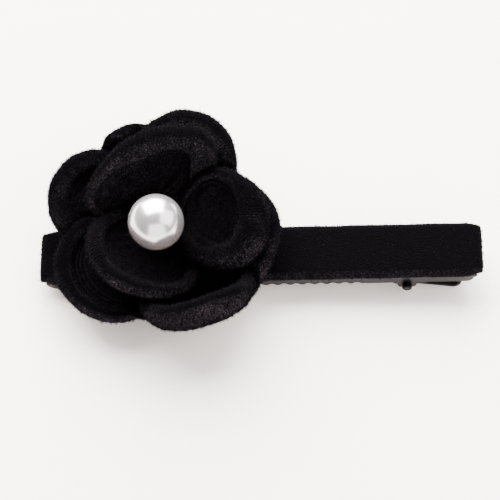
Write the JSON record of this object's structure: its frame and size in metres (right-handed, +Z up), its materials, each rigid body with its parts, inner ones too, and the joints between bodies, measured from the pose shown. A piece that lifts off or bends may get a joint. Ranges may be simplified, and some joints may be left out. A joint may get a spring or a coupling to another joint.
{
  "type": "alligator hair clip with fabric flower",
  "caption": "Flat toothed spring hair clip covered with velvet ribbon, with a padded velvet camellia and a pearl; squeezing the lever opens the lower jaw.",
  "frame": {"origin": "on the table under the middle of the whole object, the clip lying closed with its flower up", "axes": "+X along the clip from the jaw tip to the finger lever, +Z up from the table, +Y across the clip to the flower's far side"},
  "size_m": [0.0802, 0.0393, 0.0231],
  "materials": {
    "clip_steel": "satin, dark plated",
    "pin_steel": "blackened",
    "spring_steel": "bright drawn wire",
    "ribbon_velvet": "velvet pile",
    "petal_velvet": "velvet pile",
    "felt": "felt",
    "wadding": "polyester fibre",
    "hot_melt_glue": "cloudy",
    "thread": "twisted thread",
    "imitation_pearl": "pearl lustre"
  },
  "bodies": {
    "top_clip": {"upper_jaw": "clip_steel", "hinge_pin": "pin_steel", "torsion_spring": "spring_steel", "velvet_ribbon": "ribbon_velvet", "felt_backing": "felt", "glue_core": "hot_melt_glue", "gathering_thread_outer": "thread", "gathering_thread_inner": "thread", "pearl": "imitation_pearl", "petal_outer_1": "petal_velvet", "petal_outer_2": "petal_velvet", "petal_outer_3": "petal_velvet", "petal_outer_4": "petal_velvet", "petal_outer_5": "petal_velvet", "petal_outer_6": "petal_velvet", "petal_inner_1": "petal_velvet", "petal_inner_2": "petal_velvet", "petal_inner_3": "petal_velvet", "wadding_outer_1": "wadding", "wadding_outer_2": "wadding", "wadding_outer_3": "wadding", "wadding_outer_4": "wadding", "wadding_outer_5": "wadding", "wadding_outer_6": "wadding", "wadding_inner_1": "wadding", "wadding_inner_2": "wadding", "wadding_inner_3": "wadding"},
    "lower_jaw_lever": {"lower_jaw": "clip_steel"}
  },
  "joints": [
    {"name": "jaw_hinge", "type": "hinge", "parent": "top_clip", "child": "lower_jaw_lever", "pos_m": [0.02654, -0.0026, 0.00326], "axis": [0, -1, 0], "range_deg": [0, 18], "stiffness_Nm_per_rad": 0.1, "springref_deg": -45.84, "deforming": ["torsion_spring"]}
  ]
}
